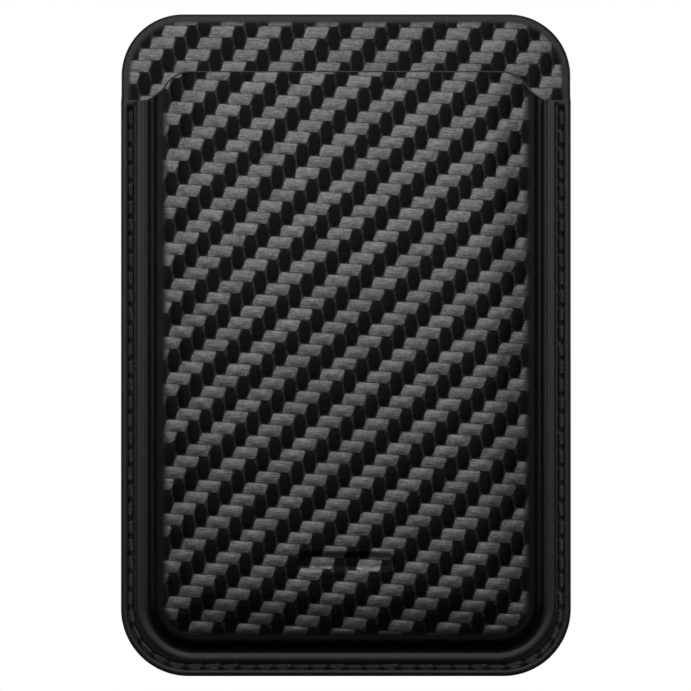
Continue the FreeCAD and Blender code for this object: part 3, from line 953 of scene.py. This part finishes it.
# %% Grain group
CREASE_BEND = 0.5 * MM           # creases wander by up to this much
CREASE_WIDTH = 0.28              # as a share of a pebble
FINE_GRAIN = 0.35                # height of the fine grain on a pebble of height 1
MOTTLE_SCALE = 90.0              # patches per metre


def make_grain_group():
    """Fine leather grain: pebbles between creases, with a slow change over the skin."""
    tree, given, result = new_group("leather_grain", {"Pebble": 0.4 * MM}, ["Height", "Mottle"])
    place = given["Vector"]
    scale = calc(tree, "DIVIDE", 1.0, given["Pebble"])
    wander = put(tree, "TexNoise", {"Vector": place, "Scale": calc(tree, "MULTIPLY", scale, 0.4)})
    bent = scaled(tree, wander.outputs["Color"], (CREASE_BEND,) * 3)
    moved = put(tree, "VectorMath", {0: place, 1: bent}, operation="ADD").outputs[0]
    pebbles = put(tree, "TexVoronoi", {"Vector": moved, "Scale": scale}, feature="DISTANCE_TO_EDGE")
    pebble = ramp(tree, pebbles.outputs["Distance"], 0.0, CREASE_WIDTH)
    fine = put(tree, "TexNoise", {"Vector": place, "Scale": calc(tree, "MULTIPLY", scale, 3.0)})
    height = calc(tree, "MULTIPLY_ADD", fine.outputs["Fac"], FINE_GRAIN, pebble)
    tree.links.new(height, result["Height"])
    tree.links.new(noise(tree, place, MOTTLE_SCALE, 3.0), result["Mottle"])
    return tree


grain_group = make_grain_group()
print("grain group with", len(grain_group.nodes), "nodes")

# %% [markdown]
# ## Woven leather
# Carbon fibre looks the way it does because each yarn mirrors light in its own direction.
# From the front, the wefts catch the studio light and the warps stay nearly black. A foil
# does the same, so it is metallic, with a light grey for wefts and near-black for warps. The
# mesh says where: its foiled attribute is 0 on the flange, where plain coating shows, and 1 on
# the wall and the pad. Its woven attribute is 1 only on the pad: the press stretches the print
# away where the leather bends over the rim, and the plain dark foil reaches further in than
# that, as painted shade where the light falls off at the pad's rim.

# %% Colours of the foil
FRONT_WEFT = grey(0.16, -0.012)
DIVIDER_WEFT = grey(0.145, -0.01)
WARP_COLOUR = grey(0.008, -0.05)
GAP_COLOUR = grey(0.036, -0.02)
RIM_COLOUR = grey(0.014)         # foil without a print, on the wall and the pad's rim, where it is partly painted shade
COATING_DARK = grey(0.012)
COATING_LIGHT = grey(0.017)


def weft_brightness(tree, twill, laid):
    """Each float has its own shade and streaks, is brighter or darker in small patches, and gets
    painted shade along its curved edges.
    """
    shade = calc(tree, "MULTIPLY_ADD", twill["Shade"], 0.24, 0.88)
    streak = ramp(tree, twill["Fibre"], 0.3, 0.7, 0.68, 1.22)
    # brighter and darker in small random patches
    patchy_tone = ramp(tree, noise(tree, laid, 4.5, 3.0), 0.32, 0.62, 0.80, 1.12)
    # painted shade: a weft darkens where its crown curves down at its edges
    painted_edge_shade = ramp(tree, twill["Crown"], 0.0, 0.5, 0.45, 1.0)
    return product(tree, shade, calc(tree, "MULTIPLY", streak, patchy_tone), painted_edge_shade)


print("weft", round(FRONT_WEFT[1], 3), "warp", round(WARP_COLOUR[1], 3))


# %% Woven leather material
COATING_ROUGH = 0.33
WARP_ROUGH = 0.32
WEFT_ROUGH = 0.30
YARN_RELIEF = 0.012 * MM
FIBRE_RELIEF = 0.012 * MM
COATING_PEBBLE = 0.3 * MM
COATING_RELIEF = 0.004 * MM


def woven_leather(name, yarn, turned, shift, weft_colour):
    """The skins' finish, with its cloth laid at this turn and place."""
    material, tree, shader = new_material(name)
    place = object_place(tree)
    start_u = (shift[0] + WEAVE_CENTRE_Z * math.sin(turned)) / yarn
    start_v = (shift[1] - WEAVE_CENTRE_Z * math.cos(turned)) / yarn
    laying = {"Vector": place, "Location": (start_u, 0.0, start_v),
              "Rotation": (0.0, -turned, 0.0), "Scale": (1 / yarn,) * 3}
    laid = put(tree, "Mapping", laying).outputs[0]
    cloth = put(tree, "Group", node_tree=twill_group)
    tree.links.new(laid, cloth.inputs["Vector"])
    twill = cloth.outputs
    grain = put(tree, "Group", node_tree=grain_group)
    tree.links.new(place, grain.inputs["Vector"])
    grain.inputs["Pebble"].default_value = COATING_PEBBLE
    woven = put(tree, "Attribute", attribute_name="woven").outputs["Fac"]
    foiled = put(tree, "Attribute", attribute_name="foiled").outputs["Fac"]

    weft = scaled(tree, weft_colour[:3], weft_brightness(tree, twill, laid))
    warp = mixed(tree, twill["Gap"], WARP_COLOUR, GAP_COLOUR)
    # on the front, the plain rim foil reaches in past the print as painted shade at the pad's rim
    foil = mixed(tree, woven, RIM_COLOUR, mixed(tree, twill["Weft"], warp, weft))
    coating = mixed(tree, grain.outputs["Mottle"], COATING_DARK, COATING_LIGHT)
    foil_rough = between(tree, twill["Weft"], WARP_ROUGH, WEFT_ROUGH)

    yarns = product(tree, twill["Crown"], woven, YARN_RELIEF)
    fibres = product(tree, twill["Fibre"], woven, FIBRE_RELIEF)
    pebbles = product(tree, grain.outputs["Height"], COATING_RELIEF)
    add_bump(tree, shader, calc(tree, "ADD", calc(tree, "ADD", yarns, fibres), pebbles))
    tree.links.new(mixed(tree, foiled, coating, foil), shader.inputs["Base Color"])
    tree.links.new(foiled, shader.inputs["Metallic"])
    tree.links.new(between(tree, foiled, COATING_ROUGH, foil_rough), shader.inputs["Roughness"])
    return material


front_leather = woven_leather("woven_leather_front", YARN, PAD_TURN, PAD_SHIFT, FRONT_WEFT)
divider_leather = woven_leather("woven_leather_divider", DIVIDER_YARN, DIVIDER_TURN,
                                DIVIDER_SHIFT, DIVIDER_WEFT)
front_skin.data.materials.append(front_leather)
divider_skin.data.materials.append(divider_leather)
print("woven leather on", front_skin.name, "and", divider_skin.name)

# %% [markdown]
# ## Plain finishes
# The other pieces are simpler: smooth grained leather on the back, satin edge paint, waxed
# thread, a fine woven lining, board, glue, tape, nickel and steel. Each has a small recipe of
# its own, because under a close look no real surface is one flat colour.

# %% Plain leather
BACK_PEBBLE = 0.60 * MM
BACK_RELIEF = 0.040 * MM


def back_leather():
    """Matt black leather with a fine pebble grain."""
    material, tree, shader = new_material("back_leather")
    grain = put(tree, "Group", node_tree=grain_group)
    tree.links.new(object_place(tree), grain.inputs["Vector"])
    grain.inputs["Pebble"].default_value = BACK_PEBBLE
    mottle = grain.outputs["Mottle"]
    tree.links.new(mixed(tree, mottle, grey(0.018), grey(0.034)), shader.inputs["Base Color"])
    tree.links.new(ramp(tree, mottle, 0.3, 0.7, 0.52, 0.62), shader.inputs["Roughness"])
    add_bump(tree, shader, product(tree, grain.outputs["Height"], BACK_RELIEF))
    return material


back_finish = back_leather()
print("made", back_finish.name)

# %% Paint, thread, board, glue, tape and metal
GLOSS_CHANGE = 0.05              # a speckle is this much rougher or smoother


def speckled(name, dark, light, rough, speckles, relief, metallic=0.0):
    """A finish with a soft speckle in colour, gloss and height; speckles are per metre."""
    material, tree, shader = new_material(name)
    cloud = noise(tree, object_place(tree), speckles, 4.0)
    colour = mixed(tree, ramp(tree, cloud, 0.3, 0.7), dark, light)
    gloss = ramp(tree, cloud, 0.3, 0.7, rough - GLOSS_CHANGE, rough + GLOSS_CHANGE)
    tree.links.new(colour, shader.inputs["Base Color"])
    tree.links.new(gloss, shader.inputs["Roughness"])
    add_bump(tree, shader, product(tree, cloud, relief))
    shader.inputs["Metallic"].default_value = metallic
    return material


edge_paint = speckled("edge_paint", grey(0.012), grey(0.018),
                      rough=0.30, speckles=1800.0, relief=0.010 * MM)
thread_black = speckled("waxed_thread", grey(0.045), grey(0.10),
                        rough=0.38, speckles=9000.0, relief=0.012 * MM)
# painted highlight: the mouth's paint is lighter than the edge paint elsewhere, for the light line
# along the lip
highlighted_lip_paint = speckled("highlighted_lip_paint", grey(0.05), grey(0.07),
                     rough=0.34, speckles=1800.0, relief=0.006 * MM)
board = speckled("binders_board", grey(0.20, 0.15), grey(0.30, 0.16),
                 rough=0.85, speckles=2500.0, relief=0.02 * MM)
glue = speckled("glue_film", grey(0.45, 0.14), grey(0.55, 0.16),
                rough=0.35, speckles=900.0, relief=0.008 * MM)
tape = speckled("clear_tape", grey(0.55, 0.02), grey(0.65, 0.02),
                rough=0.30, speckles=700.0, relief=0.004 * MM)
nickel = speckled("nickel_plate", grey(0.52, 0.03), grey(0.62, 0.03),
                  rough=0.22, speckles=1500.0, relief=0.002 * MM, metallic=1.0)
steel = speckled("rolled_steel", grey(0.40, 0.01), grey(0.50, 0.01),
                 rough=0.34, speckles=2200.0, relief=0.003 * MM, metallic=1.0)
print("materials so far:", len(bpy.data.materials))

# %% Lining cloth
LINING_THREAD = 0.22 * MM        # from one thread to the next
LINING_ROUGH = 0.8
LINING_RELIEF = 0.02 * MM


def lining_cloth():
    """Thin black plain-weave cloth."""
    material, tree, shader = new_material("lining_cloth")
    laying = {"Vector": object_place(tree), "Scale": (1 / LINING_THREAD,) * 3}
    part = put(tree, "SeparateXYZ", {0: put(tree, "Mapping", laying).outputs[0]}).outputs
    across = calc(tree, "SINE", calc(tree, "MULTIPLY", part["X"], math.pi))
    up = calc(tree, "SINE", calc(tree, "MULTIPLY", part["Z"], math.pi))
    weave = calc(tree, "MULTIPLY", across, up)
    colour = mixed(tree, ramp(tree, weave, -1.0, 1.0), grey(0.014), grey(0.035))
    tree.links.new(colour, shader.inputs["Base Color"])
    shader.inputs["Roughness"].default_value = LINING_ROUGH
    add_bump(tree, shader, product(tree, weave, LINING_RELIEF))
    return material


lining = lining_cloth()
print("made", lining.name)

# %% Give every piece its finish
FINISHES = {
    "front_lining": lining,
    "back_skin": back_finish,
    "mouth_edge_paint": highlighted_lip_paint,
    "slot_edge_paint": edge_paint,
    "front_board": board,
    "core_board": board,
    "core_disc": board,
    "shield_surround": board,
    "board_glue": glue,
    "divider_glue": glue,
    "back_glue": glue,
    "magnet_tape": tape,
    "bar_tape": tape,
    "ring_magnets": nickel,
    "alignment_magnets": nickel,
    "ring_yoke": steel,
    "bar_yoke": steel,
    "shield_plate": steel,
}
for node_name, finish in FINISHES.items():
    nodes[node_name].data.materials.clear()
    nodes[node_name].data.materials.append(finish)
perimeter_bead.data.materials.append(edge_paint)
needle_thread.data.materials.append(thread_black)
bobbin_thread.data.materials.append(thread_black)
print("finishes on", len(FINISHES), "packed pieces")

# %% [markdown]
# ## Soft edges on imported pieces
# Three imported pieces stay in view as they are: the back skin and the paint at the mouth and
# in the thumb slot. Their meshes may not change, but a modifier may soften them. Weld joins
# the loose triangles first, because Bevel only rounds an edge that two faces share.

# %% Weld and bevel
WELD_GAP = 0.001 * MM
BEVEL_SEGMENTS = 2
BEVEL_FROM = math.radians(35.0)  # flatter edges than this stay as they are


def soften(node_name, width):
    """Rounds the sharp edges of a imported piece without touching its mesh."""
    piece = nodes[node_name]
    weld = piece.modifiers.new("weld", "WELD")
    weld.merge_threshold = WELD_GAP
    bevel = piece.modifiers.new("bevel", "BEVEL")
    bevel.width = width
    bevel.segments = BEVEL_SEGMENTS
    bevel.limit_method = "ANGLE"
    bevel.angle_limit = BEVEL_FROM
    bevel.harden_normals = False
    print(node_name, "softened by", round(width / MM, 2), "mm")


soften("back_skin", 0.07 * MM)
soften("mouth_edge_paint", 0.05 * MM)
soften("slot_edge_paint", 0.08 * MM)

# %% [markdown]
# ## Studio
# Black, glossy things are lit by what they mirror. A soft light in front, rather high, gives
# the wefts a shine that fades towards the bottom. One overhead draws the upper edges and three
# pairs at the sides draw the bead, while the walls of the pad stay black. A panel behind
# lights the back. The floor looks pale to the camera but throws little light back up, as if
# a black card lay under the wallet.

# %% Lights
def softbox(name, place, size, strength):
    """A square light that faces the origin. strength is its brightness, not its power."""
    light = bpy.data.lights.new(name, "AREA")
    light.size = size
    light.energy = strength * math.pi * size * size
    lamp = bpy.data.objects.new(name, light)
    lamp.location = place
    lamp.rotation_euler = (-Vector(place)).to_track_quat("-Z", "Y").to_euler()
    lamp.visible_camera = False
    bpy.context.scene.collection.objects.link(lamp)


softbox("front_softbox", (-0.05, -1.20, 0.27), size=0.62, strength=1.75)
softbox("overhead_softbox", (0.0, -0.15, 0.90), size=0.60, strength=1.1)
softbox("back_softbox", (0.0, 1.10, 0.50), size=0.90, strength=1.2)
for side, side_name in ((-1, "left"), (1, "right")):
    softbox(side_name + "_rear_softbox", (0.95 * side, 0.75, 0.25), size=0.60, strength=2.2)
    softbox(side_name + "_side_softbox", (1.25 * side, 0.0, 0.10), size=0.60, strength=1.6)
    softbox(side_name + "_front_softbox", (1.10 * side, -0.70, 0.20), size=0.50, strength=1.2)
print("lights:", len(bpy.data.lights))

# %% Floor
FLOOR_HALF = 6.0
FLOOR_GAP = 0.05 * MM
FLOOR_GREY = grey(0.12)
FLOOR_ROUGH = 0.9
WHITE = grey(1.0)

floor = bpy.data.objects.new("floor", bpy.data.meshes.new("floor"))
floor_bmesh = bmesh.new()
bmesh.ops.create_grid(floor_bmesh, x_segments=1, y_segments=1, size=FLOOR_HALF)
bmesh.ops.translate(floor_bmesh, verts=floor_bmesh.verts, vec=(0, 0, BOTTOM - FLOOR_GAP))
floor_bmesh.to_mesh(floor.data)
floor_bmesh.free()
bpy.context.scene.collection.objects.link(floor)

floor_paint, floor_tree, floor_shader = new_material("pale_floor")
floor_shader.inputs["Base Color"].default_value = FLOOR_GREY
floor_shader.inputs["Roughness"].default_value = FLOOR_ROUGH
seen = put(floor_tree, "LightPath").outputs["Is Camera Ray"]
white = put(floor_tree, "Emission", {"Color": WHITE, "Strength": 1.0}).outputs[0]
shown_floor = put(floor_tree, "MixShader", {0: seen, 1: floor_shader.outputs[0], 2: white})
floor_tree.links.new(shown_floor.outputs[0], floor_tree.nodes["Material Output"].inputs["Surface"])
floor.data.materials.append(floor_paint)
print("floor at", round((BOTTOM - FLOOR_GAP) / MM, 2), "mm")

# %% World
AIR_GLOW = 0.04                  # light that comes to the wallet from all round
AIR_SEEN = 1.0                   # and how bright the camera sees the background

world = bpy.data.worlds.new("studio")
bpy.context.scene.world = world
world.use_nodes = True
air = world.node_tree
background = air.nodes["Background"]
seen = put(air, "LightPath").outputs["Is Camera Ray"]
background.inputs["Color"].default_value = WHITE
air.links.new(between(air, seen, AIR_GLOW, AIR_SEEN), background.inputs["Strength"])
print("studio ready")
